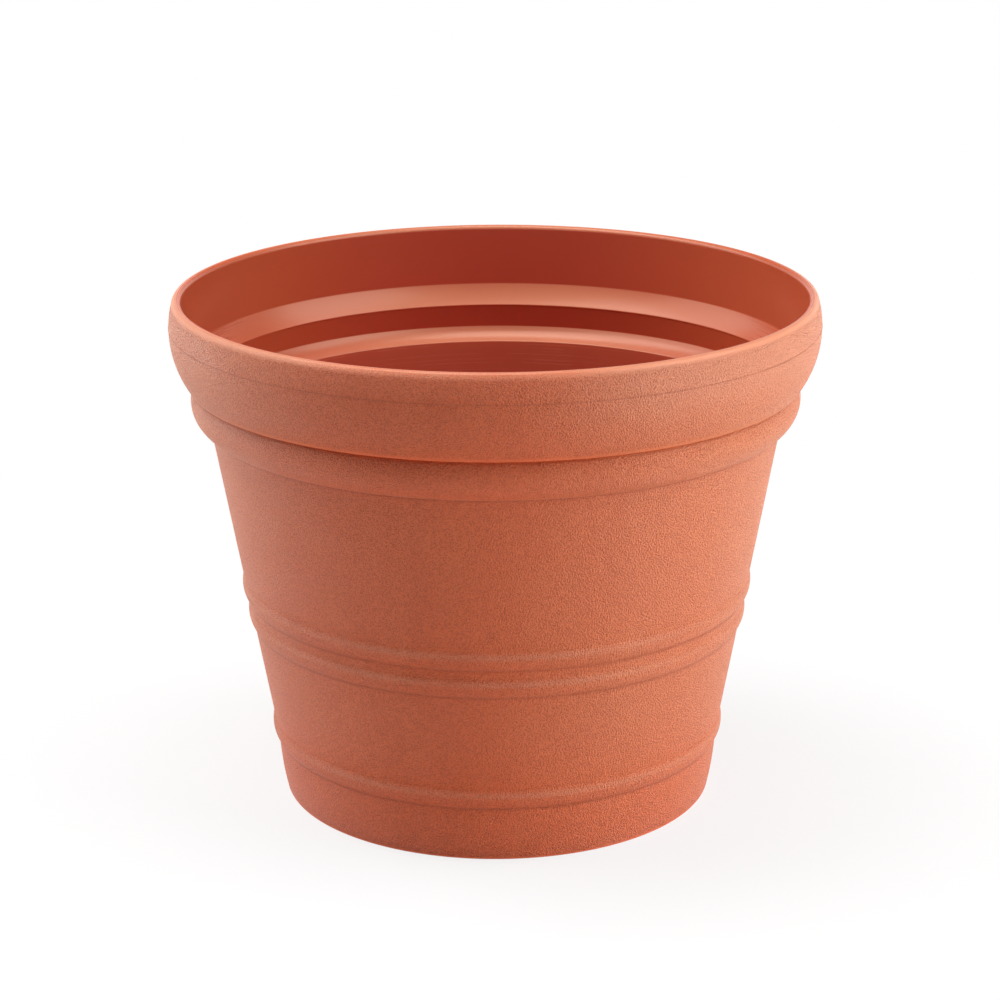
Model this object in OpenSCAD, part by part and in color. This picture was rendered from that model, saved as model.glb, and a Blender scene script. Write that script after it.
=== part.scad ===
// Round floor planter for plants: one moulded shell with a bulged rim, a bead,
// three ribs and a base band, and removable push-in plugs in its drain holes.
// Millimetres. Origin on the surface it stands on, at the centre of the foot. +Z is up.

/* [Overall] */
// Height from the foot to the top of the lip
pot_h = 405; // [385:1:440]
// Widest diameter, round the rim bulge
rim_d = 508; // [500:1:520]
// Wall thickness of the body and the base band
wall_t = 4.5; // [3.5:0.1:5.5]

/* [Rim] */
// Radius of the rim bulge in section
rim_bulge_r = 75; // [68:0.5:90]
// Distance from the top of the lip down to the widest point of the rim
rim_widest_drop = 23.5; // [18:0.5:28]
// Radius of the full-round lip
lip_r = 3.8; // [3:0.1:5]
// How far the upright inner wall draws in between the lip and the rim ledge
rim_draw = 3; // [0:0.1:4]
// Wall thickness of the rim, where its inner ledge follows the bulge
rim_t = 8; // [7:0.1:9.5]
// Distance from the top of the lip down to the lower edge of the rim ledge
ledge_edge_drop = 67; // [66:0.5:69]
// Height of the undercut between that edge and the bead's upright inner wall
ledge_under = 2.6; // [1:0.1:4]
// Radius of the soft corner between the upright inner wall and the rim ledge
ledge_round = 4; // [2:0.5:12]
// Radius under the lower edge of the rim bulge
rim_edge_r = 2.5; // [1.5:0.1:3.5]
// Distance from the top of the lip down to the groove under the rim
groove_drop = 68; // [67:0.5:73]
// Distance from the top of the lip down to the mould's parting line
parting_drop = 22; // [17:0.5:32]
// How far the parting line stands proud
parting_proud = 0.2; // [0.1:0.05:0.4]
// Width of the parting line
parting_w = 0.8; // [0.5:0.1:1.5]

/* [Bead] */
// How far the bead stands proud of the body's cone at the height of the bead's middle
bead_proud = 10.9; // [9:0.1:13]
// Radius of the bead in section
bead_r = 22.3; // [21:0.1:25]
// Wall thickness of the bead at its widest point, where its inner wall is upright
bead_t = 6.4; // [5.5:0.1:7]
// Distance from the top of the lip down to the start of the bead's inner ledge
bead_ledge_drop = 85.8; // [83:0.1:89]
// Slope of the bead's inner ledge, in degrees below the level
bead_ledge_slope = 41; // [35:1:48]
// How far the bead's inner ledge sags between its ends
bead_ledge_dip = 1.5; // [0.5:0.1:2]
// Radius of the soft corner at the start of the bead's inner ledge
bead_ledge_round = 2; // [1:0.1:3]
// Distance from the top of the lip down to the middle of the bead
bead_drop = 80.2; // [79:0.1:83]
// Radius on the lower edges of the two inner ledges
ridge_round = 1.5; // [1:0.1:2.2]

/* [Body] */
// Diameter of the body's cone at the top of the base band
body_low_d = 355.2; // [350:0.2:360]
// Diameter of the body's cone at the height of the bead's middle
body_top_d = 456; // [450:0.5:460]
// Height of the lower edge of the upper rib
rib_upper_z = 164; // [160:1:180]
// Height of the lower edge of the middle rib
rib_middle_z = 141; // [110:1:145]
// Height of the upper and middle ribs
rib_h = 16; // [10:0.5:18]
// How far the upper and middle ribs bulge from the body's cone
rib_bulge = 2.4; // [1.6:0.1:3]
// Height of the low rib, which stands on the base band
low_rib_h = 16.5; // [10:0.5:20]
// How far the low rib bulges from the body's cone
low_rib_bulge = 2.8; // [1.6:0.1:3.2]

/* [Base] */
// Height of the base band
band_h = 44.5; // [38:0.5:55]
// Outer diameter at the foot
foot_d = 343.6; // [336:0.2:350]
// How far the base band bulges between the foot and the low rib
band_bulge = 1; // [0.5:0.1:2]
// Radius of the outer corner of the foot
foot_round = 2; // [1:0.1:4]
// Width of the flat ring that the pot stands on
foot_w = 14; // [10:0.5:20]
// Height of the underside's recess above the foot
recess_h = 8; // [7:0.5:12]
// Thickness of the floor
floor_t = 5; // [4:0.1:7]
// Radius between the floor and the inner wall
floor_round = 12; // [8:1:16]

/* [Drain holes] */
// Diameter of the circle that the drain holes lie on
drain_circle_d = 230; // [200:1:250]
// Diameter of a drain hole
drain_d = 20; // [16:0.5:24]
// Wall thickness of the collar under a drain hole
collar_t = 4; // [3:0.5:6]
// Gap between a collar's end and the surface that the pot stands on
collar_lift = 3; // [2:0.5:5]

/* [Drain plugs] */
// Diameter of a plug's head
plug_head_d = 31; // [29:0.5:36]
// Thickness of a plug's head
plug_head_t = 2.6; // [2:0.1:3.2]
// Depth of the seat that takes the head
seat_depth = 1.8; // [1:0.1:2.4]
// Gap between the edge of the head and its seat
seat_side_gap = 0.6; // [0.3:0.1:1]
// Gap left under the head
seat_gap = 0.1; // [0.05:0.05:0.2]
// Radial clearance between a plug's stem and the hole
stem_clearance = 0.08; // [0.05:0.01:0.1]
// Wall thickness of the hollow stem
stem_t = 2.2; // [1.5:0.1:3]
// Chamfer at the end of the stem
stem_chamfer = 1.2; // [0.5:0.1:1.5]
// How far the stem ends short of the collar's end
stem_short = 1; // [0.5:0.1:2]
// Width of the finger grip
grip_w = 18; // [12:0.5:22]
// Height of the finger grip above the head
grip_h = 9; // [6:0.5:12]
// Thickness of the finger grip
grip_t = 3.6; // [2.5:0.1:5]
// Rounding of the edge of the head
head_round = 1; // [0.5:0.1:1.4]

/* [Hidden] */
NODES = [
    "pot_shell", "drain_plug_1", "drain_plug_2", "drain_plug_3",
    "drain_plug_4", "drain_plug_5", "drain_plug_6"
];
$fn = 180;
overlap = 1;
// One drain hole for each plug
drain_count = len(NODES) - 1;
terracotta = [0.79, 0.43, 0.29];
terracotta_dark = [0.62, 0.27, 0.17];

// Centre of the rim bulge in section, as [radius, height]
rim_c = [rim_d / 2 - rim_bulge_r, pot_h - rim_widest_drop];
// Centre of the bead in section
bead_c = [body_top_d / 2 + bead_proud - bead_r, pot_h - bead_drop];
groove_z = pot_h - groove_drop;
low_r = body_low_d / 2;
top_r = body_top_d / 2;
foot_r = foot_d / 2;
foot_in_r = foot_r - foot_w;
floor_z = recess_h + floor_t;
drain_r = drain_d / 2;
head_z = floor_z - seat_depth + seat_gap;

// The body's cone: its lean, its radius at a height, and the sideways width of a depth below it
body_slope = (top_r - low_r) / (bead_c[1] - band_h);
body_lean = atan(body_slope);
function body_at(z) = [low_r + body_slope * (z - band_h), z];
function depth_width(depth) = depth / cos(body_lean);

// Points along an arc round c, from angle a0 to a1
function arc(c, r, a0, a1, n) = [
    for (i = [0:n]) c + r * [cos(a0 + (a1 - a0) * i / n), sin(a0 + (a1 - a0) * i / n)]
];

function angle_from(c, p) = atan2(p[1] - c[1], p[0] - c[0]);

// The lower crossing of the bead's circle with the body's cone
function bead_crossing() =
    let (
        k = top_r - bead_c[0],
        s = body_slope,
        t = (-s * k - sqrt(s * s * k * k - (1 + s * s) * (k * k - bead_r * bead_r))) / (1 + s * s)
    )
    bead_c + [k + s * t, t];

// A bulge between two points: its radius, its centre and its middle angle
function bulge_r(p, q, h) = (norm(q - p) * norm(q - p) / 4 + h * h) / (2 * h);
function bulge_out(p, q) = [q[1] - p[1], p[0] - q[0]] / norm(q - p);
function bulge_c(p, q, h) = (p + q) / 2 - bulge_out(p, q) * (bulge_r(p, q, h) - h);
function bulge_mid(p, q) = atan2(bulge_out(p, q)[1], bulge_out(p, q)[0]);

// The outside of a bulge, from its lower point p to its upper point q
function bulge(p, q, h, n) =
    let (r = bulge_r(p, q, h), half = asin(norm(q - p) / 2 / r), mid = bulge_mid(p, q))
    arc(bulge_c(p, q, h), r, mid - half, mid + half, n);

// The hollow that a bulge leaves on the inside of a wall, from its upper end down
function bulge_hollow(p, q, h, t, n) =
    let (r = bulge_r(p, q, h), half = acos((r - h - t) / (r - t)), mid = bulge_mid(p, q))
    arc(bulge_c(p, q, h), r - t, mid + half, mid - half, n);

// A rounded corner at b, between the lines to a and to c
function round_corner(a, b, c, r, n) =
    let (
        u = (a - b) / norm(a - b),
        v = (c - b) / norm(c - b),
        half = acos(u * v) / 2,
        m = (u + v) / norm(u + v),
        centre = b + m * r / sin(half),
        a0 = angle_from(centre, b + u * r / tan(half)),
        a1 = angle_from(centre, b + v * r / tan(half)),
        turn = a1 - a0,
        swing = turn > 180 ? turn - 360 : turn < -180 ? turn + 360 : turn
    )
    arc(centre, r, a0, a0 + swing, n);

// The foot and the base band, from the flat ring up to the low rib
band_low = [foot_r, foot_round];
band_top = body_at(band_h);
foot_outline = concat(
    round_corner([0, recess_h], [foot_in_r, recess_h], [foot_in_r, 0], foot_round, 4),
    [[foot_in_r, 0]],
    arc([foot_r - foot_round, foot_round], foot_round, -90, 0, 5)
);
band_outline = bulge(band_low, band_top, band_bulge, 8);

// The ribs, each as its lower end, its upper end and its bulge
low_rib = [band_top, body_at(band_h + low_rib_h), low_rib_bulge];
middle_rib = [body_at(rib_middle_z), body_at(rib_middle_z + rib_h), rib_bulge];
upper_rib = [body_at(rib_upper_z), body_at(rib_upper_z + rib_h), rib_bulge];
function rib_outline(rib) = bulge(rib[0], rib[1], rib[2], 10);
function rib_hollow(rib) = bulge_hollow(rib[0], rib[1], rib[2], wall_t, 8);

// The bead, from the body up to the groove
bead_outline = arc(
    bead_c, bead_r,
    angle_from(bead_c, bead_crossing()), asin((groove_z - bead_c[1]) / bead_r), 16
);

// The rim bulge: its lower edge, its bulge with the parting line, and its lip
edge_z = groove_z + rim_edge_r;
edge_reach = rim_bulge_r - rim_edge_r;
edge_c = [rim_c[0] + sqrt(pow(edge_reach, 2) - pow(edge_z - rim_c[1], 2)), edge_z];
lip_z = pot_h - lip_r;
lip_c = [rim_c[0] + sqrt(pow(rim_bulge_r - lip_r, 2) - pow(lip_z - rim_c[1], 2)), lip_z];
mouth_r = lip_c[0] - lip_r;
parting_a = asin((rim_widest_drop - parting_drop) / rim_bulge_r);
parting_half = parting_w / 2 / rim_bulge_r * 180 / PI;
rim_outline = concat(
    arc(edge_c, rim_edge_r, -90, angle_from(rim_c, edge_c), 6),
    arc(rim_c, rim_bulge_r, angle_from(rim_c, edge_c), parting_a - parting_half, 14),
    arc(rim_c, rim_bulge_r + parting_proud, parting_a - parting_half / 2, parting_a + parting_half / 2, 1),
    arc(rim_c, rim_bulge_r, parting_a + parting_half, angle_from(rim_c, lip_c), 5),
    arc(lip_c, lip_r, angle_from(rim_c, lip_c), 90, 8),
    arc(lip_c, lip_r, 90, 180, 9)
);

// The inside of the rim, from the lip down to the lower edge of its ledge
ledge_r = rim_bulge_r - rim_t;
cove_r = mouth_r - rim_draw - ledge_round;
ledge_drop = sqrt(pow(ledge_r - ledge_round, 2) - pow(cove_r - rim_c[0], 2));
cove_c = [cove_r, rim_c[1] - ledge_drop];
ledge_edge_z = pot_h - ledge_edge_drop;
ledge_edge = [rim_c[0] + sqrt(pow(ledge_r, 2) - pow(ledge_edge_z - rim_c[1], 2)), ledge_edge_z];
ledge_end_a = angle_from(rim_c, ledge_edge) + 2 * ridge_round / ledge_r * 180 / PI;
rim_ledge = concat(
    arc(cove_c, ledge_round, 0, angle_from(rim_c, cove_c), 5),
    arc(rim_c, ledge_r, angle_from(rim_c, cove_c), ledge_end_a, 6)
);

// The inside of the bead: an upright wall, and a ledge that sags a little down to the body
bead_in_r = top_r + bead_proud - bead_t;
bead_in_top = [bead_in_r, ledge_edge_z - min(ledge_under, max(0, bead_in_r - ledge_edge[0]))];
band_inside = band_top - [depth_width(wall_t), 0];
bead_ledge_start = [bead_in_r, pot_h - bead_ledge_drop];
bead_ledge_run = (bead_in_r - body_at(bead_ledge_start[1])[0] + depth_width(wall_t))
    / (cos(bead_ledge_slope) - body_slope * sin(bead_ledge_slope));
bead_ledge_end = bead_ledge_start - bead_ledge_run * [cos(bead_ledge_slope), sin(bead_ledge_slope)];
sag_steps = 8;
sag = bulge_hollow(bead_ledge_end, bead_ledge_start, bead_ledge_dip, 0, sag_steps);
rim_hollow = concat(
    rim_ledge,
    round_corner(rim_ledge[len(rim_ledge) - 1], ledge_edge, bead_in_top, ridge_round, 6),
    round_corner(bead_in_top, bead_ledge_start, sag[1], bead_ledge_round, 4),
    [for (i = [2:sag_steps - 1]) sag[i]],
    round_corner(sag[sag_steps - 1], bead_ledge_end, band_inside, ridge_round, 6)
);

// The inside of the base band and the floor
foot_inside = band_low - [depth_width(wall_t), 0];
floor_corner = foot_inside
    + (band_inside - foot_inside) * (floor_z - foot_inside[1]) / (band_inside[1] - foot_inside[1]);
floor_outline = round_corner(band_inside, floor_corner, [0, floor_z], floor_round, 8);

shell_outline = concat(
    [[0, recess_h]], foot_outline, band_outline,
    rib_outline(low_rib), rib_outline(middle_rib), rib_outline(upper_rib),
    bead_outline, rim_outline,
    rim_hollow, rib_hollow(upper_rib), rib_hollow(middle_rib), rib_hollow(low_rib),
    floor_outline, [[0, floor_z]]
);

module at_drain(i) {
    rotate([0, 0, i * 360 / drain_count])
        translate([drain_circle_d / 2, 0, 0])
            children();
}

// The collars under the floor, round the drain holes
module drain_collars() {
    for (i = [0:drain_count - 1])
        at_drain(i)
            translate([0, 0, collar_lift])
                cylinder(h = recess_h - collar_lift + overlap, r = drain_r + collar_t);
}

// The drain holes, each with a seat for its plug's head
module drain_cuts() {
    for (i = [0:drain_count - 1])
        at_drain(i) {
            cylinder(h = floor_z + overlap, r = drain_r);
            translate([0, 0, floor_z - seat_depth])
                cylinder(h = seat_depth + overlap, r = plug_head_d / 2 + seat_side_gap);
        }
}

module pot_shell() {
    color(terracotta)
        difference() {
            union() {
                rotate_extrude()
                    polygon(shell_outline);
                drain_collars();
            }
            drain_cuts();
        }
}

// A plug in section: its head, with a rounded edge, and its hollow, chamfered stem
module plug_body() {
    head_r = plug_head_d / 2;
    stem_r = drain_r - stem_clearance;
    stem_end = collar_lift + stem_short;
    rotate_extrude()
        polygon(concat(
            [
                [0, head_z],
                [stem_r - stem_t, head_z],
                [stem_r - stem_t, stem_end],
                [stem_r - stem_chamfer, stem_end],
                [stem_r, stem_end + stem_chamfer],
                [stem_r, head_z]
            ],
            [[head_r, head_z]],
            arc([head_r - head_round, head_z + plug_head_t - head_round], head_round, 0, 90, 4),
            [[0, head_z + plug_head_t]]
        ));
}

// The finger grip on a plug's head, with a round top
module plug_grip() {
    top_z = head_z + plug_head_t;
    corner_r = grip_h / 2;
    translate([0, grip_t / 2, top_z])
        rotate([90, 0, 0])
            linear_extrude(height = grip_t)
                polygon(concat(
                    [[-grip_w / 2, -overlap], [grip_w / 2, -overlap]],
                    arc([grip_w / 2 - corner_r, grip_h - corner_r], corner_r, 0, 90, 8),
                    arc([corner_r - grip_w / 2, grip_h - corner_r], corner_r, 90, 180, 8)
                ));
}

module drain_plug(i) {
    color(terracotta_dark)
        at_drain(i) {
            plug_body();
            plug_grip();
        }
}

module drain_plug_1() { drain_plug(0); }
module drain_plug_2() { drain_plug(1); }
module drain_plug_3() { drain_plug(2); }
module drain_plug_4() { drain_plug(3); }
module drain_plug_5() { drain_plug(4); }
module drain_plug_6() { drain_plug(5); }

pot_shell();
drain_plug_1();
drain_plug_2();
drain_plug_3();
drain_plug_4();
drain_plug_5();
drain_plug_6();
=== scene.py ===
import math

import bmesh
import bpy
from mathutils import Matrix, Vector, noise


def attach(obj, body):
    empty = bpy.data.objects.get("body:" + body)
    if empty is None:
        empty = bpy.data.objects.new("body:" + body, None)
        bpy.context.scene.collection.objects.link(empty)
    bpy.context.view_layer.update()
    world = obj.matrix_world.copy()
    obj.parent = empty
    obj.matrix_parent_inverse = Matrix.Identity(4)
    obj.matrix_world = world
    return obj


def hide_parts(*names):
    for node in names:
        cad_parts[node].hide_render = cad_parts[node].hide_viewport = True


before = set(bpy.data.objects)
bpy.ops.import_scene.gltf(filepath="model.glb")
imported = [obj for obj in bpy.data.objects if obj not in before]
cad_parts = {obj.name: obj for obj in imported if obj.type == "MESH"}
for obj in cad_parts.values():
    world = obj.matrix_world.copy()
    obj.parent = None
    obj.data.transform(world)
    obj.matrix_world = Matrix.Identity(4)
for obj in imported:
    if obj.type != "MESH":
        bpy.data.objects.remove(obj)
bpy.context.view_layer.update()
print("frame loaded:", len(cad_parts), "nodes")


# Camera, at the eye of the photograph
eye = {
    "place": (0.0, -2.1555, 0.9131),
    "down": 17.484,  # degrees below the horizon
    "yaw": -0.080,
    "roll": 0.252,
    "lens": 102.1,  # millimetres on a 36 mm sensor
    "sensor": 36.0,
}


def makeCamera():
    down, yaw, roll = (math.radians(eye[key]) for key in ("down", "yaw", "roll"))
    ahead = Vector((-math.sin(yaw) * math.cos(down), math.cos(yaw) * math.cos(down), -math.sin(down)))
    level = Vector((math.cos(yaw), math.sin(yaw), 0))
    upright = level.cross(ahead)
    right = math.cos(roll) * level - math.sin(roll) * upright
    top = math.sin(roll) * level + math.cos(roll) * upright
    turn = Matrix((right, top, -ahead)).transposed().to_4x4()
    lens = bpy.data.cameras.new("eye")
    lens.sensor_width = eye["sensor"]
    lens.lens = eye["lens"]
    camera = bpy.data.objects.new("eye", lens)
    camera.matrix_world = Matrix.Translation(eye["place"]) @ turn
    bpy.context.scene.collection.objects.link(camera)
    bpy.context.scene.camera = camera


makeCamera()
print("camera set")


# Shader maths: a Wire is one socket, and a Paint is one material or world with its nodes
class Wire:
    def __init__(self, paint, socket):
        self.paint = paint
        self.socket = socket

    def do(self, operation, *others):
        inputs = dict(enumerate((self,) + others))
        return self.paint.node("ShaderNodeMath", {"operation": operation}, inputs)

    def swapped(self, operation, other):
        return self.paint.node("ShaderNodeMath", {"operation": operation}, {0: other, 1: self})

    def __add__(self, other):
        return self.do("ADD", other)

    def __radd__(self, other):
        return self.do("ADD", other)

    def __sub__(self, other):
        return self.do("SUBTRACT", other)

    def __rsub__(self, other):
        return self.swapped("SUBTRACT", other)

    def __mul__(self, other):
        return self.do("MULTIPLY", other)

    def __rmul__(self, other):
        return self.do("MULTIPLY", other)

    def __pow__(self, other):
        return self.do("POWER", other)

    def __rpow__(self, other):
        return self.swapped("POWER", other)


socketNames = {
    "colour": "Base Color",
    "rough": "Roughness",
    "normal": "Normal",
    "gloss": "Specular IOR Level",
    "glossTint": "Specular Tint",
}


class Paint:
    def __init__(self, owner):
        self.owner = owner
        owner.use_nodes = True
        self.tree = owner.node_tree
        self.shader = self.tree.nodes.get("Principled BSDF")

    def node(self, kind, settings=None, inputs=None, output=0):
        made = self.tree.nodes.new(kind)
        for key, value in (settings or {}).items():
            setattr(made, key, value)
        for key, value in (inputs or {}).items():
            self.feed(made.inputs[key], value)
        return Wire(self, made.outputs[output])

    def feed(self, socket, value):
        if isinstance(value, Wire):
            self.tree.links.new(value.socket, socket)
        else:
            socket.default_value = value

    def place(self):
        return self.node("ShaderNodeTexCoord", output="Object")

    def axes(self, vector):
        split = self.node("ShaderNodeSeparateXYZ", inputs={0: vector})
        node = split.socket.node
        return [Wire(self, node.outputs[i]) for i in range(3)]

    def stretch(self, vector, scale):
        return self.node("ShaderNodeVectorMath", {"operation": "MULTIPLY"}, {0: vector, 1: scale})

    def grain(self, vector, scale, detail):
        inputs = {"Vector": vector, "Scale": scale, "Detail": detail, "Roughness": 0.5}
        return self.node("ShaderNodeTexNoise", {"noise_dimensions": "3D"}, inputs)

    def cells(self, vector, scale):
        return self.node("ShaderNodeTexVoronoi", {"feature": "F1"}, {"Vector": vector, "Scale": scale})

    def between(self, value, low, high):  # 0 below low, 1 above high, smooth in between
        settings = {"interpolation_type": "SMOOTHSTEP"}
        inputs = {"Value": value, "From Min": low, "From Max": high}
        return self.node("ShaderNodeMapRange", settings, inputs)

    def mix(self, factor, first, second):
        settings = {"data_type": "RGBA", "blend_type": "MIX"}
        return self.node("ShaderNodeMix", settings, {0: factor, 6: first, 7: second}, output=2)

    def bump(self, height, distance):
        inputs = {"Height": height, "Distance": distance, "Strength": 1.0}
        return self.node("ShaderNodeBump", inputs=inputs)

    def set(self, **values):
        for key, value in values.items():
            self.feed(self.shader.inputs[socketNames[key]], value)


# Outline maths, in metres: a point is (radius, height)
def arc(centre, radius, start, end, steps):
    points = []
    for i in range(steps + 1):
        a = math.radians(start + (end - start) * i / steps)
        points.append(centre + radius * Vector((math.cos(a), math.sin(a))))
    return points


def angleOf(centre, point):
    return math.degrees(math.atan2(point[1] - centre[1], point[0] - centre[0]))


def bulgeCircle(low, high, height):
    chord = (high - low).length
    out = Vector((high[1] - low[1], low[0] - high[0])) / chord
    radius = (chord**2 / 4 + height**2) / (2 * height)
    return (low + high) / 2 - out * (radius - height), radius, angleOf(Vector((0, 0)), out)


def bulge(low, high, height, steps):
    centre, radius, middle = bulgeCircle(low, high, height)
    half = math.degrees(math.asin((high - low).length / 2 / radius))
    return arc(centre, radius, middle - half, middle + half, steps)


def bulgeHollow(low, high, height, wall, steps):
    centre, radius, middle = bulgeCircle(low, high, height)
    half = math.degrees(math.acos((radius - height - wall) / (radius - wall)))
    return arc(centre, radius - wall, middle + half, middle - half, steps)


def roundCorner(before, corner, after, radius, steps):
    u = (before - corner).normalized()
    v = (after - corner).normalized()
    half = math.acos(max(-1, min(1, u.dot(v)))) / 2
    centre = corner + (u + v).normalized() * radius / math.sin(half)
    start = angleOf(centre, corner + u * radius / math.tan(half))
    turn = (angleOf(centre, corner + v * radius / math.tan(half)) - start + 180) % 360 - 180
    return arc(centre, radius, start, start + turn, steps)


def spaced(points, longest):  # adds points on stretches that are too long
    dense = [points[0]]
    for before, after in zip(points, points[1:]):
        steps = max(1, math.ceil((after - before).length / longest))
        dense += [before.lerp(after, i / steps) for i in range(1, steps + 1)]
    return dense


def tidied(points, shortest=1e-6):
    kept = [points[0]]
    for point in points[1:]:
        if (point - kept[-1]).length > shortest:
            kept.append(point)
    return kept


# Mesh makers
def turned(name, outline, segments, slots=None):  # a closed mesh of revolution round Z
    verts = []
    rings = []
    for radius, height in outline:
        if radius < 1e-7:
            rings.append([len(verts)] * segments)
            verts.append((0, 0, height))
            continue
        rings.append(range(len(verts), len(verts) + segments))
        for j in range(segments):
            a = 2 * math.pi * j / segments
            verts.append((radius * math.cos(a), radius * math.sin(a), height))
    faces = []
    slotOf = []
    for i, (low, high) in enumerate(zip(rings, rings[1:])):
        for j in range(segments):
            k = (j + 1) % segments
            corners = [low[j], low[k], high[k], high[j]]
            face = [c for n, c in enumerate(corners) if c != corners[n - 1]]
            faces.append(face)
            slotOf.append(slots[i] if slots else 0)
    mesh = bpy.data.meshes.new(name)
    mesh.from_pydata(verts, [], faces)
    mesh.polygons.foreach_set("material_index", slotOf)
    mesh.polygons.foreach_set("use_smooth", [True] * len(faces))
    mesh.update()
    piece = bpy.data.objects.new(name, mesh)
    bpy.context.scene.collection.objects.link(piece)
    return piece


def combined(piece, other, operation):  # a boolean with another object, which is then removed
    step = piece.modifiers.new("combine", "BOOLEAN")
    step.operation = operation
    step.solver = "EXACT"
    step.object = other
    settle(piece)
    bpy.data.objects.remove(other)


def settle(piece):  # applies the modifiers
    seen = piece.evaluated_get(bpy.context.evaluated_depsgraph_get())
    mesh = bpy.data.meshes.new_from_object(seen)
    piece.modifiers.clear()
    piece.data = mesh


def sharpened(piece, degrees):
    piece.data.polygons.foreach_set("use_smooth", [True] * len(piece.data.polygons))
    piece.data.set_sharp_from_angle(angle=math.radians(degrees))
    step = piece.modifiers.new("flat faces stay flat", "WEIGHTED_NORMAL")
    step.keep_sharp = True
    settle(piece)


# The pot's shell
shell = {
    "height": 0.405,
    "rimWidth": 0.508,
    "wall": 0.0045,
    "rimBulge": 0.075,
    "rimWidestDrop": 0.0235,
    "lip": 0.0038,
    "rimDraw": 0.003,
    "rimWall": 0.008,
    "ledgeEdgeDrop": 0.067,
    "ledgeUnder": 0.0026,
    "ledgeRound": 0.004,
    "rimEdge": 0.0025,
    "grooveDrop": 0.068,
    "partingDrop": 0.022,
    "partingProud": 0.0002,
    "partingWidth": 0.0008,
    "beadProud": 0.0109,
    "beadRound": 0.0223,
    "beadWall": 0.0064,
    "beadLedgeDrop": 0.0858,
    "beadLedgeSlope": 41.0,  # degrees below the level
    "beadLedgeDip": 0.0015,  # how far it sags between its ends
    "beadLedgeRound": 0.002,
    "beadDrop": 0.0802,
    "ridgeRound": 0.0015,
    "bodyLowWidth": 0.3552,
    "bodyTopWidth": 0.456,
    "ribHeights": (0.141, 0.164),
    "ribTall": 0.016,
    "ribBulge": 0.0024,
    "lowRibTall": 0.0165,
    "lowRibBulge": 0.0028,
    "bandTall": 0.0445,
    "bandBulge": 0.001,
    "footWidth": 0.3436,
    "footRound": 0.002,
    "footRing": 0.014,
    "footInnerRound": 0.0006,
    "recess": 0.008,
    "floor": 0.005,
    "floorRound": 0.012,
    "segments": 256,
    "longest": 0.006,  # between two rings of the mesh
    "uneven": 0.00018,  # how far the moulded wall strays inwards
    "unevenScale": 9,
    "evenReach": 0.16,  # within this and below the next the wall is even
    "evenTall": 0.02,
    "sharpFrom": 32,  # degrees
}
drains = {
    "count": 6,
    "circle": 0.115,
    "radius": 0.010,
    "collarWall": 0.004,
    "collarLift": 0.003,
    "seat": 0.0018,
    "seatRadius": 0.0161,
    "softEdge": 0.0004,
    "joinDeep": 0.001,  # how far a collar starts inside the floor
    "floorRings": (0.13455, 0.092),  # rings of the floor's mesh outside and inside the holes
    "segments": 64,
}
outside, inside, under = range(3)


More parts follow.
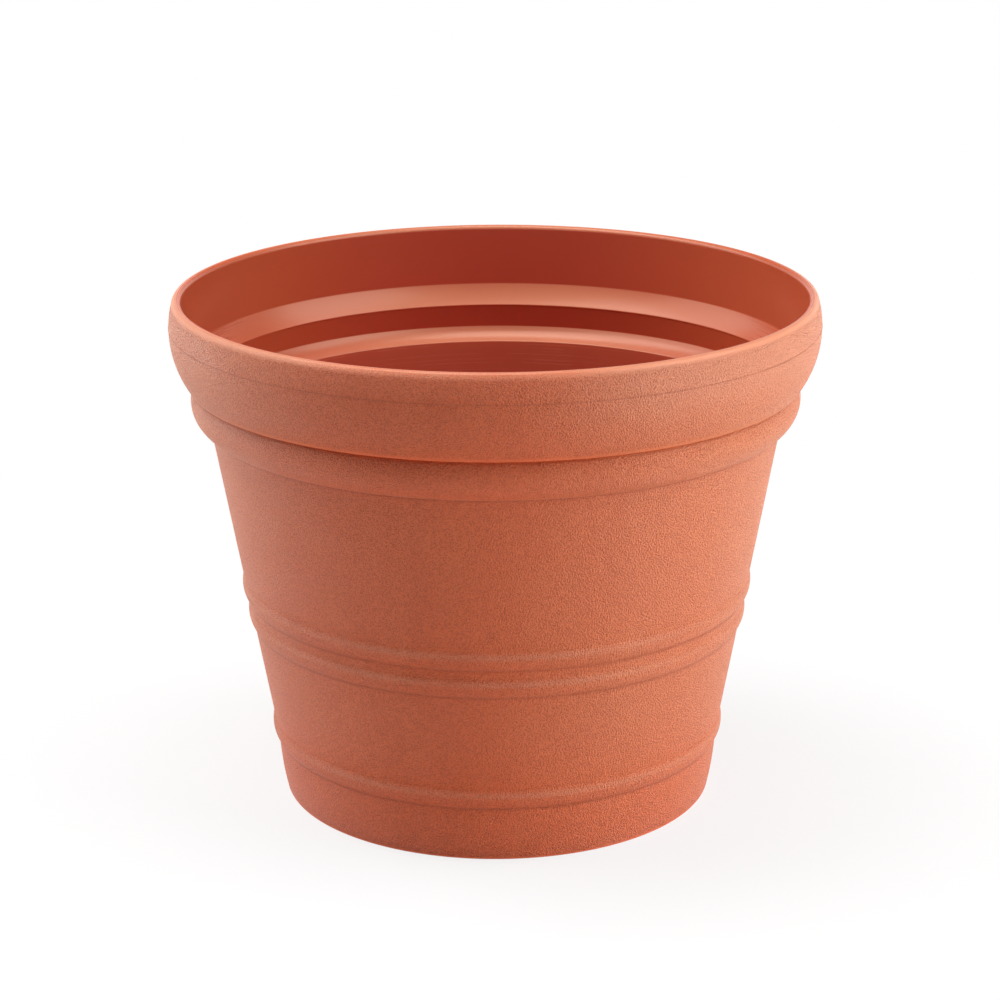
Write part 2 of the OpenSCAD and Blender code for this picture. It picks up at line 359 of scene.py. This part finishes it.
def shellOutline():
    s = shell
    rimCentre = Vector((s["rimWidth"] / 2 - s["rimBulge"], s["height"] - s["rimWidestDrop"]))
    beadFace = s["bodyTopWidth"] / 2 + s["beadProud"]
    beadCentre = Vector((beadFace - s["beadRound"], s["height"] - s["beadDrop"]))
    groove = s["height"] - s["grooveDrop"]
    lean = (s["bodyTopWidth"] - s["bodyLowWidth"]) / 2 / (beadCentre[1] - s["bandTall"])
    tilt = math.degrees(math.atan(lean))
    across = s["wall"] / math.cos(math.radians(tilt))

    def body(z):
        return Vector((s["bodyLowWidth"] / 2 + lean * (z - s["bandTall"]), z))

    def beadCrossing():  # the bead's lower crossing with the body
        k = s["bodyTopWidth"] / 2 - beadCentre[0]
        square = (lean * k) ** 2 - (1 + lean**2) * (k * k - s["beadRound"] ** 2)
        t = (-lean * k - math.sqrt(square)) / (1 + lean**2)
        return beadCentre + Vector((k + lean * t, t))

    footInner = s["footWidth"] / 2 - s["footRing"]
    footOuter = s["footWidth"] / 2
    bandLow = Vector((footOuter, s["footRound"]))
    bandTop = body(s["bandTall"])
    underCorner = Vector((footInner, s["recess"]))
    underside = [Vector((0, s["recess"]))]
    underside += roundCorner(underside[0], underCorner, Vector((footInner, 0)), s["footRound"], 6)
    innerRound = s["footInnerRound"]
    underside += arc(Vector((footInner + innerRound, innerRound)), innerRound, 180, 270, 3)
    underside += arc(Vector((footOuter - s["footRound"], s["footRound"])), s["footRound"], -90, 0, 8)

    ribs = [(bandTop, body(s["bandTall"] + s["lowRibTall"]), s["lowRibBulge"])]
    ribs += [(body(z), body(z + s["ribTall"]), s["ribBulge"]) for z in s["ribHeights"]]
    outer = bulge(bandLow, bandTop, s["bandBulge"], 10)
    for low, high, height in ribs:
        outer += bulge(low, high, height, 16)
    top = math.degrees(math.asin((groove - beadCentre[1]) / s["beadRound"]))
    outer += arc(beadCentre, s["beadRound"], angleOf(beadCentre, beadCrossing()), top, 28)

    rimReach = s["rimBulge"] - s["rimEdge"]
    edgeHeight = groove + s["rimEdge"]
    edgeSide = math.sqrt(rimReach**2 - (edgeHeight - rimCentre[1]) ** 2)
    edgeCentre = Vector((rimCentre[0] + edgeSide, edgeHeight))
    lipHeight = s["height"] - s["lip"]
    lipSide = math.sqrt((s["rimBulge"] - s["lip"]) ** 2 - (lipHeight - rimCentre[1]) ** 2)
    lipCentre = Vector((rimCentre[0] + lipSide, lipHeight))
    mouth = lipCentre[0] - s["lip"]
    parting = math.degrees(math.asin((s["rimWidestDrop"] - s["partingDrop"]) / s["rimBulge"]))
    half = math.degrees(s["partingWidth"] / 2 / s["rimBulge"])
    proud = s["rimBulge"] + s["partingProud"]
    outer += arc(edgeCentre, s["rimEdge"], -90, angleOf(rimCentre, edgeCentre), 8)
    outer += arc(rimCentre, s["rimBulge"], angleOf(rimCentre, edgeCentre), parting - half, 16)
    outer += arc(rimCentre, proud, parting - half / 2, parting + half / 2, 2)
    outer += arc(rimCentre, s["rimBulge"], parting + half, angleOf(rimCentre, lipCentre), 8)
    outer += arc(lipCentre, s["lip"], angleOf(rimCentre, lipCentre), 90, 10)

    ledge = s["rimBulge"] - s["rimWall"]
    coveSide = mouth - s["rimDraw"] - s["ledgeRound"]
    coveDrop = math.sqrt((ledge - s["ledgeRound"]) ** 2 - (coveSide - rimCentre[0]) ** 2)
    cove = Vector((coveSide, rimCentre[1] - coveDrop))
    edgeTall = s["height"] - s["ledgeEdgeDrop"]
    edge = Vector((rimCentre[0] + math.sqrt(ledge**2 - (edgeTall - rimCentre[1]) ** 2), edgeTall))
    upright = beadFace - s["beadWall"]
    underEdge = Vector((upright, edgeTall - s["ledgeUnder"]))
    start = Vector((upright, s["height"] - s["beadLedgeDrop"]))
    slope = math.radians(s["beadLedgeSlope"])
    run = (upright - body(start[1])[0] + across) / (math.cos(slope) - lean * math.sin(slope))
    end = start - run * Vector((math.cos(slope), math.sin(slope)))
    last = angleOf(rimCentre, edge) + math.degrees(2 * s["ridgeRound"] / ledge)
    inner = arc(lipCentre, s["lip"], 90, 180, 12)
    inner += arc(cove, s["ledgeRound"], 0, angleOf(rimCentre, cove), 8)
    inner += arc(rimCentre, ledge, angleOf(rimCentre, cove), last, 12)
    inner += roundCorner(inner[-1], edge, underEdge, s["ridgeRound"], 8)
    sag = bulgeHollow(end, start, s["beadLedgeDip"], 0, 10)
    inner += roundCorner(underEdge, start, sag[1], s["beadLedgeRound"], 4)
    inner += sag[2:-1]
    inner += roundCorner(sag[-2], end, body(s["bandTall"]) - Vector((across, 0)), s["ridgeRound"], 8)
    for low, high, height in reversed(ribs):
        inner += bulgeHollow(low, high, height, s["wall"], 12)
    floorTop = s["recess"] + s["floor"]
    bandInside = bandTop - Vector((across, 0))
    footInside = bandLow - Vector((across, 0))
    share = (floorTop - footInside[1]) / (bandInside[1] - footInside[1])
    corner = footInside.lerp(bandInside, share)
    inner += roundCorner(bandInside, corner, Vector((0, floorTop)), s["floorRound"], 12)
    inner += [Vector((reach, floorTop)) for reach in drains["floorRings"]]
    return underside, outer, inner, Vector((0, floorTop))


def makeShell():
    underside, outer, inner, middle = shellOutline()
    underside = tidied(underside)
    outer = spaced(tidied(outer), shell["longest"])
    inner = spaced(tidied(inner), shell["longest"])
    outline = underside + outer[1:] + inner[1:] + [middle]
    slots = [under] * (len(underside) - 1) + [outside] * (len(outer) - 1) + [inside] * len(inner)
    piece = turned("potShell", tidied(outline), shell["segments"], slots)
    for vertex in piece.data.vertices:
        place = vertex.co.copy()
        reach = math.hypot(place[0], place[1])
        if reach > shell["evenReach"] and place[2] > shell["evenTall"]:
            stray = 0.5 + 0.5 * noise.noise(place * shell["unevenScale"])
            vertex.co -= Vector((place[0], place[1], 0)) / reach * shell["uneven"] * stray
    return piece


def wheelPlaces(reach):  # one place for each drain
    steps = [2 * math.pi * i / drains["count"] for i in range(drains["count"])]
    return [Matrix.Rotation(a, 4, "Z") @ Matrix.Translation((reach, 0, 0)) for a in steps]


def repeated(piece, places):  # one mesh with a copy at each place
    form = bmesh.new()
    for place in places:
        copy = piece.data.copy()
        copy.transform(place)
        form.from_mesh(copy)
        bpy.data.meshes.remove(copy)
    form.to_mesh(piece.data)
    form.free()
    return piece


def addCollars(piece):  # under the floor, round the drain holes
    d = drains
    top = shell["recess"] + d["joinDeep"]
    reach = d["radius"] + d["collarWall"]
    outline = [(0, d["collarLift"]), (reach - d["softEdge"], d["collarLift"])]
    outline += [(reach, d["collarLift"] + d["softEdge"]), (reach, top), (0, top)]
    collar = turned("collar", [Vector(p) for p in outline], d["segments"])
    combined(piece, repeated(collar, wheelPlaces(d["circle"])), "UNION")


def cutDrains(piece):
    d = drains
    top = shell["recess"] + shell["floor"]
    soft = d["softEdge"]
    seatBase = top - d["seat"]
    outline = [(0, -soft), (d["radius"] + soft, -soft), (d["radius"] + soft, d["collarLift"])]
    outline += [(d["radius"], d["collarLift"] + soft), (d["radius"], seatBase - soft)]
    outline += [(d["radius"] + soft, seatBase), (d["seatRadius"], seatBase)]
    outline += [(d["seatRadius"], top - soft), (d["seatRadius"] + 2 * soft, top + soft), (0, top + soft)]
    cutter = turned("cutter", [Vector(p) for p in outline], d["segments"])
    combined(piece, repeated(cutter, wheelPlaces(d["circle"])), "DIFFERENCE")


potShell = makeShell()
addCollars(potShell)
cutDrains(potShell)
sharpened(potShell, shell["sharpFrom"])
print("pot shell made:", len(potShell.data.polygons), "faces")
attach(potShell, "pot")
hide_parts("pot_shell")


# The drain plugs
plug = {
    "headRadius": 0.0155,
    "headThick": 0.0026,
    "headBase": 0.0113,  # height of the head's underside
    "stemRadius": 0.00992,
    "stemWall": 0.0022,
    "stemEnd": 0.004,
    "chamfer": 0.0012,
    "headRound": 0.001,
    "headSoft": 0.0003,
    "gripWide": 0.018,
    "gripTall": 0.009,
    "gripThick": 0.0036,
    "gripRound": 0.0011,
    "segments": 96,
    "sharpFrom": 35,  # degrees
    "gripSunk": 0.0015,  # how far the grip starts inside the head
    "dishSteps": ((0.0022, 0), (0.0028, 0.0006), (0.0050, 0.0006), (0.0056, 0)),  # inset, depth
}


def plugOutline():
    p = plug
    top = p["headBase"] + p["headThick"]
    hollow = p["stemRadius"] - p["stemWall"]
    points = [(0, p["headBase"]), (hollow, p["headBase"]), (hollow, p["stemEnd"])]
    points += [(p["stemRadius"] - p["chamfer"], p["stemEnd"])]
    points += [(p["stemRadius"], p["stemEnd"] + p["chamfer"]), (p["stemRadius"], p["headBase"])]
    points += [(p["headRadius"] - p["headSoft"], p["headBase"])]
    points += [(p["headRadius"], p["headBase"] + p["headSoft"])]
    points = [Vector(point) for point in points]
    rounding = Vector((p["headRadius"] - p["headRound"], top - p["headRound"]))
    points += arc(rounding, p["headRound"], 0, 90, 6)
    for inset, depth in p["dishSteps"]:
        points.append(Vector((p["headRadius"] - inset, top - depth)))
    return points + [Vector((0, top))]


def makeGrip():  # an upright tab with a round top and soft edges
    p = plug
    base = p["headBase"] + p["headThick"] - p["gripSunk"]
    crown = p["headBase"] + p["headThick"] + p["gripTall"]
    corner = p["gripTall"] / 2
    side = p["gripWide"] / 2
    outline = [Vector((-side, base)), Vector((side, base))]
    outline += arc(Vector((side - corner, crown - corner)), corner, 0, 90, 12)
    outline += arc(Vector((corner - side, crown - corner)), corner, 90, 180, 12)
    form = bmesh.new()
    verts = [form.verts.new((x, -p["gripThick"] / 2, z)) for x, z in tidied(outline)]
    face = form.faces.new(verts)
    swept = bmesh.ops.extrude_face_region(form, geom=[face])
    moved = [v for v in swept["geom"] if isinstance(v, bmesh.types.BMVert)]
    bmesh.ops.translate(form, verts=moved, vec=(0, p["gripThick"], 0))
    rims = [e for e in form.edges if abs(e.verts[0].co.y - e.verts[1].co.y) < 1e-6]
    bmesh.ops.bevel(form, geom=rims, offset=p["gripRound"], segments=4, profile=0.5, affect="EDGES")
    bmesh.ops.recalc_face_normals(form, faces=form.faces)
    mesh = bpy.data.meshes.new("grip")
    form.to_mesh(mesh)
    form.free()
    piece = bpy.data.objects.new("grip", mesh)
    bpy.context.scene.collection.objects.link(piece)
    return piece


def makePlug(i):
    piece = turned("drainPlug", tidied(plugOutline()), plug["segments"])
    combined(piece, makeGrip(), "UNION")
    sharpened(piece, plug["sharpFrom"])
    piece.data.transform(wheelPlaces(drains["circle"])[i])
    piece.name = f"drainPlug{i + 1}"
    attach(piece, f"plug_{i + 1}")
    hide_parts(f"drain_plug_{i + 1}")
    return piece


plugs = [makePlug(i) for i in range(drains["count"])]
print("drain plugs made:", len(plugs))


# Finishes
clay = {
    "pale": (0.620, 0.123, 0.044, 1),
    "deep": (0.590, 0.108, 0.038, 1),
    # painted sheen on the sides
    "sideSheenColour": (0.580, 0.185, 0.079, 1),
    # painted bounce light near the bottom
    "bounceLightColour": (0.720, 0.114, 0.034, 1),
    # painted highlight on the rim's upper right
    "rimHighlight": (0.640, 0.270, 0.170, 1),
    # painted shade in the stipple's pits
    "pitShade": (0.400, 0.062, 0.018, 1),
    # painted shade along the parting line
    "seamShade": (0.330, 0.052, 0.018, 1),
    # wear and painted highlight on the lip and rib tops
    "wearAndHighlight": (0.600, 0.235, 0.138, 1),
    # painted shade in the creases and towards the foot
    "creaseAndFootShade": (0.380, 0.060, 0.020, 1),
    "wallPale": (0.530, 0.104, 0.042, 1),
    "wallDeep": (0.480, 0.066, 0.036, 1),
    # painted shade deep inside
    "lowInnerShade": (0.400, 0.056, 0.031, 1),
    # painted light on upward faces inside
    "upLitColour": (0.560, 0.174, 0.091, 1),
    "plugPale": (0.330, 0.078, 0.036, 1),
    "plugDeep": (0.260, 0.055, 0.026, 1),
    "gloss": 0.5,
    "glossTint": (1.0, 0.82, 0.66, 1),
}
grained = {  # outside, in metres
    "broadScale": 7,
    "streakScale": (40, 40, 3),
    "stippleScale": 760,  # pits for each metre
    "stippleDeep": 0.0021,
    "lipDrop": (0.0060, 0.0015),  # the stipple fades out between these, below the top
    "grooveRaise": 0.0005,
    "grooveHalf": 0.004,
    "sideSheenShift": 0.03,
    "sideSheenFrom": (0.08, 0.29),  # painted sheen, from the middle to both sides
    "sideSheenRight": (0.02, 0.17),
    "bounceLightBelow": (0.13, 0.01),
    "rimHighlightFrom": (0.02, 0.16),
    "rimHighlightTall": (0.350, 0.385),
    "rubbedAndLitAt": 0.75,  # share of a rib's height
    "rubbedAndLitHalf": 0.0045,
    "seamHalf": 0.0009,
    "footShadeTall": 0.012,
    "creases": (0.0445, 0.1410, 0.1640, 0.3038),
    "creaseHalf": 0.0028,
}
smooth = {  # inside, in metres
    "broadScale": 10,
    "ringScale": 700,  # turning marks for each metre
    "ringDeep": 0.000004,
    "litSidesFrom": (0.05, 0.22),
    "endFrom": (0.18, 0.23),
    "lowInnerShadeBelow": (0.325, 0.305),
    "facingUp": (0.2, 0.6),  # where the painted light on upward faces starts and is full
}


def crest(paint, z, middle, half):  # 1 at a height, falling to 0 on both sides of it
    return paint.between(half - (z - middle).do("ABSOLUTE"), 0, half)


def grainedPlastic():
    g = grained
    paint = Paint(bpy.data.materials.new("terracotta grained"))
    place = paint.place()
    x, _, z = paint.axes(place)
    broad = paint.grain(place, g["broadScale"], 2)
    streak = paint.grain(paint.stretch(place, g["streakScale"]), 1, 3)
    pits = paint.cells(place, g["stippleScale"])
    fine = paint.grain(place, g["stippleScale"] * 1.5, 1)
    lip = paint.between(z, *[shell["height"] - drop for drop in g["lipDrop"]])
    groove = crest(paint, z, shell["height"] - shell["grooveDrop"] + g["grooveRaise"], g["grooveHalf"])
    plain = (1 - lip * 0.95) * (1 - groove * 0.9)
    wander = broad * 0.06

    shade = paint.mix(paint.between(broad * 0.6 + streak * 0.4, 0.35, 0.65), clay["deep"], clay["pale"])
    # Painted sheen: the sides, and the right more, are paler where the lamps' sheen falls
    sideSheen = paint.between((x + g["sideSheenShift"]).do("ABSOLUTE") + wander, *g["sideSheenFrom"])
    sideSheen = sideSheen.do("MAXIMUM", paint.between(x + wander, *g["sideSheenRight"]) * 0.6)
    shade = paint.mix(sideSheen, shade, clay["sideSheenColour"])
    # Painted light: warmer red towards the bottom, where light bounces up from the floor
    shade = paint.mix(paint.between(z, *g["bounceLightBelow"]) * 0.4, shade, clay["bounceLightColour"])
    # Painted highlight: a paler patch on the upper right of the rim
    rimHighlight = paint.between(x + wander, *g["rimHighlightFrom"]) * paint.between(z, *g["rimHighlightTall"])
    shade = paint.mix(rimHighlight * 0.4, shade, clay["rimHighlight"])
    # Painted shade: the stipple's pits are darker, less so in the painted rim highlight
    pitShaded = paint.between(fine * 0.5 + pits * 0.5, 0.55, 0.3) * plain * (1 - rimHighlight * 0.5)
    shade = paint.mix(pitShaded, shade, clay["pitShade"])

    # Partly wear, partly painted highlight: paler on the lip and near the top of each rib
    ribTops = [low + shell["ribTall"] * g["rubbedAndLitAt"] for low in shell["ribHeights"]]
    ribTops.append(shell["bandTall"] + shell["lowRibTall"] * g["rubbedAndLitAt"])
    rubbedAndLit = lip * 0.9
    for height in ribTops:
        rubbedAndLit = rubbedAndLit + crest(paint, z, height, g["rubbedAndLitHalf"]) * 0.45
    shade = paint.mix(rubbedAndLit * paint.between(broad * 0.4 + fine * 0.6, 0.3, 0.6), shade, clay["wearAndHighlight"])
    # Painted shade: a thin dark line along the mould's parting line
    seamShade = crest(paint, z, shell["height"] - shell["partingDrop"], g["seamHalf"])
    shade = paint.mix(seamShade * 0.5, shade, clay["seamShade"])
    # Painted shade: darker in the creases under the bead and ribs, and towards the foot
    creaseAndFootShade = paint.between(z, g["footShadeTall"], 0.0) * 0.2
    for height in g["creases"]:
        creaseAndFootShade = creaseAndFootShade + crest(paint, z, height, g["creaseHalf"]) * 0.55
    shade = paint.mix(creaseAndFootShade * paint.between(streak * 0.3 + fine * 0.7, 0.1, 0.5), shade, clay["creaseAndFootShade"])

    rough = 0.36 + broad * 0.05 + fine * 0.1 - lip * 0.08
    stipple = (pits * 0.5 + fine) * plain
    paint.set(colour=shade, rough=rough, normal=paint.bump(stipple, g["stippleDeep"]))
    paint.set(gloss=clay["gloss"], glossTint=clay["glossTint"])
    return paint.owner


def smoothPlastic():
    s = smooth
    paint = Paint(bpy.data.materials.new("terracotta smooth"))
    place = paint.place()
    x, y, z = paint.axes(place)
    aside = x.do("ABSOLUTE")
    broad = paint.grain(place, s["broadScale"], 3)
    reach = (x * x + y * y) ** 0.5
    turns = {0: reach * s["ringScale"], 1: z * s["ringScale"], 2: broad * 4}
    rings = paint.grain(paint.node("ShaderNodeCombineXYZ", inputs=turns), 1, 3)
    # Painted light: the inner wall is paler towards both sides; the rest of its tone varies at random and
    # with the turning marks
    side = paint.between(aside, *s["litSidesFrom"])
    tone = side * 0.8 + broad * 0.35 + rings * 0.04 - 0.15
    shade = paint.mix(tone, clay["wallDeep"], clay["wallPale"])
    # Painted shade: the inner wall is darker below the lower ledge, deep inside the pot
    shade = paint.mix(paint.between(z + broad * 0.01, *s["lowInnerShadeBelow"]), shade, clay["lowInnerShade"])
    # Painted light: upward-facing ledges inside are paler, less so at the sides and ends
    facing = paint.axes(paint.node("ShaderNodeNewGeometry", output="Normal"))[2]
    facingUpLit = paint.between(facing + broad * 0.2, *s["facingUp"])
    upLight = facingUpLit * (1 - side * 0.6) * (1 - paint.between(aside, *s["endFrom"]) * 0.7)
    shade = paint.mix(upLight, shade, clay["upLitColour"])
    rough = 0.25 + rings * 0.03 + upLight * 0.06
    paint.set(colour=shade, rough=rough, normal=paint.bump(rings, s["ringDeep"]))
    paint.set(gloss=clay["gloss"], glossTint=clay["glossTint"])
    return paint.owner


def plainPlastic(name, deep, pale, broadScale, fineScale, fineDetail, rough, deepness):
    paint = Paint(bpy.data.materials.new(name))
    place = paint.place()
    broad = paint.grain(place, broadScale, 3)
    fine = paint.grain(place, fineScale, fineDetail)
    normal = paint.bump(fine, deepness)
    paint.set(colour=paint.mix(broad, clay[deep], clay[pale]), rough=rough + fine * 0.1, normal=normal)
    return paint.owner


underside = plainPlastic("terracotta underside", "deep", "pale", 18, 700, 3, 0.55, 0.00005)
for material in (grainedPlastic(), smoothPlastic(), underside):
    potShell.data.materials.append(material)
brown = plainPlastic("plug brown", "plugDeep", "plugPale", 60, 1500, 2, 0.38, 0.00003)
for piece in plugs:
    piece.data.materials.clear()
    piece.data.materials.append(brown)
print("finishes made")


# Floor and light
studio = {
    "floor": (0.80, 0.80, 0.80, 1),
    "floorWash": (0.78, 0.78, 0.78, 1),
    "floorHalf": 20.0,
    "floorFade": (0.3, 1.0),  # the shadow on the floor fades out between these
    "floorDark": (0.150, 0.157),  # under the pot the floor doesn't show white
    "horizon": (0.2, 0.5),
    "ambient": 0.01,
    "aim": (0, 0, 0.2),
    "lamps": {  # azimuth from the camera's side round to the right; glow is a face's brightness, 1 is white
        "right panel": {"azimuth": 84, "up": 0, "away": 1.3, "size": (1.4, 0.4), "glow": 9.0},
        "left panel": {"azimuth": 248, "up": 0, "away": 1.3, "size": (1.1, 0.4), "glow": 4.4},
        "left fill": {"azimuth": 248, "up": 0, "away": 1.3, "size": (1.1, 0.4), "glow": 3.5, "matt": True},
        "front fill": {"azimuth": 14, "up": -4, "away": 1.9, "size": (1.6, 0.4), "glow": 5.8, "matt": True},
        "right": {"azimuth": 76, "up": 42, "away": 2.6, "size": (2.2, 1.7), "glow": 3.8},
        "left": {"azimuth": 255, "up": 38, "away": 2.6, "size": (2.0, 1.6), "glow": 2.8},
        "above left": {"azimuth": 270, "up": 65, "away": 2.4, "size": (1.6, 1.2), "glow": 5.2},
        "overhead": {"azimuth": 0, "up": 90, "away": 2.2, "size": (1.0, 1.0), "glow": 6.5},
    },
}


def seenWhite(paint):  # 1 for a ray that looks at the background
    path = paint.node("ShaderNodeLightPath", output="Is Camera Ray")
    node = path.socket.node
    others = [Wire(paint, node.outputs[name]) for name in ("Is Glossy Ray", "Is Transmission Ray")]
    return path.do("MAXIMUM", others[0]).do("MAXIMUM", others[1])


def makeFloor():
    half = studio["floorHalf"]
    mesh = bpy.data.meshes.new("floor")
    corners = [(-half, -half, 0), (half, -half, 0), (half, half, 0), (-half, half, 0)]
    mesh.from_pydata(corners, [], [(0, 1, 2, 3)])
    floor = bpy.data.objects.new("floor", mesh)
    bpy.context.scene.collection.objects.link(floor)
    paint = Paint(bpy.data.materials.new("floor pale"))
    place = paint.place()
    wash = paint.grain(place, 0.8, 2)
    paint.set(colour=paint.mix(wash, studio["floorWash"], studio["floor"]), rough=0.9)
    x, y, _ = paint.axes(place)
    reach = (x * x + y * y) ** 0.5
    far = paint.between(reach, *studio["floorFade"])
    clear = paint.between(reach, *studio["floorDark"])
    glow = paint.node("ShaderNodeEmission", inputs={"Color": (1, 1, 1, 1), "Strength": 1})
    share = seenWhite(paint) * (far * 0.22 + 0.78) * clear
    lit = Wire(paint, paint.shader.outputs[0])
    both = paint.node("ShaderNodeMixShader", inputs={0: share, 1: lit, 2: glow})
    paint.feed(paint.tree.nodes["Material Output"].inputs["Surface"], both)
    mesh.materials.append(paint.owner)


def makeLamps():
    aim = Vector(studio["aim"])
    for name, lamp in studio["lamps"].items():
        turn = math.radians(lamp["azimuth"])
        up = math.radians(lamp["up"])
        light = bpy.data.lights.new(name, "AREA")
        light.shape = "RECTANGLE"
        light.size, light.size_y = lamp["size"]
        light.energy = math.pi * light.size * light.size_y * lamp["glow"]
        toLamp = Vector((math.sin(turn) * math.cos(up), -math.cos(turn) * math.cos(up), math.sin(up)))
        stand = bpy.data.objects.new(name, light)
        stand.location = aim + toLamp * lamp["away"]
        stand.rotation_euler = (-toLamp).to_track_quat("-Z", "Y").to_euler()
        stand.visible_camera = False
        stand.visible_glossy = not lamp.get("matt", False)
        bpy.context.scene.collection.objects.link(stand)


def makeWorld():
    world = bpy.data.worlds.new("studio")
    bpy.context.scene.world = world
    paint = Paint(world)
    z = paint.axes(paint.node("ShaderNodeTexCoord", output="Generated"))[2]
    horizon = 1 - paint.between(z, *studio["horizon"])
    light = seenWhite(paint) * horizon * (1 - studio["ambient"]) + studio["ambient"]
    back = paint.tree.nodes["Background"]
    back.inputs["Color"].default_value = (1, 1, 1, 1)
    paint.feed(back.inputs["Strength"], light)


makeFloor()
makeLamps()
makeWorld()
bpy.context.scene.view_settings.view_transform = "Standard"
print("studio set")
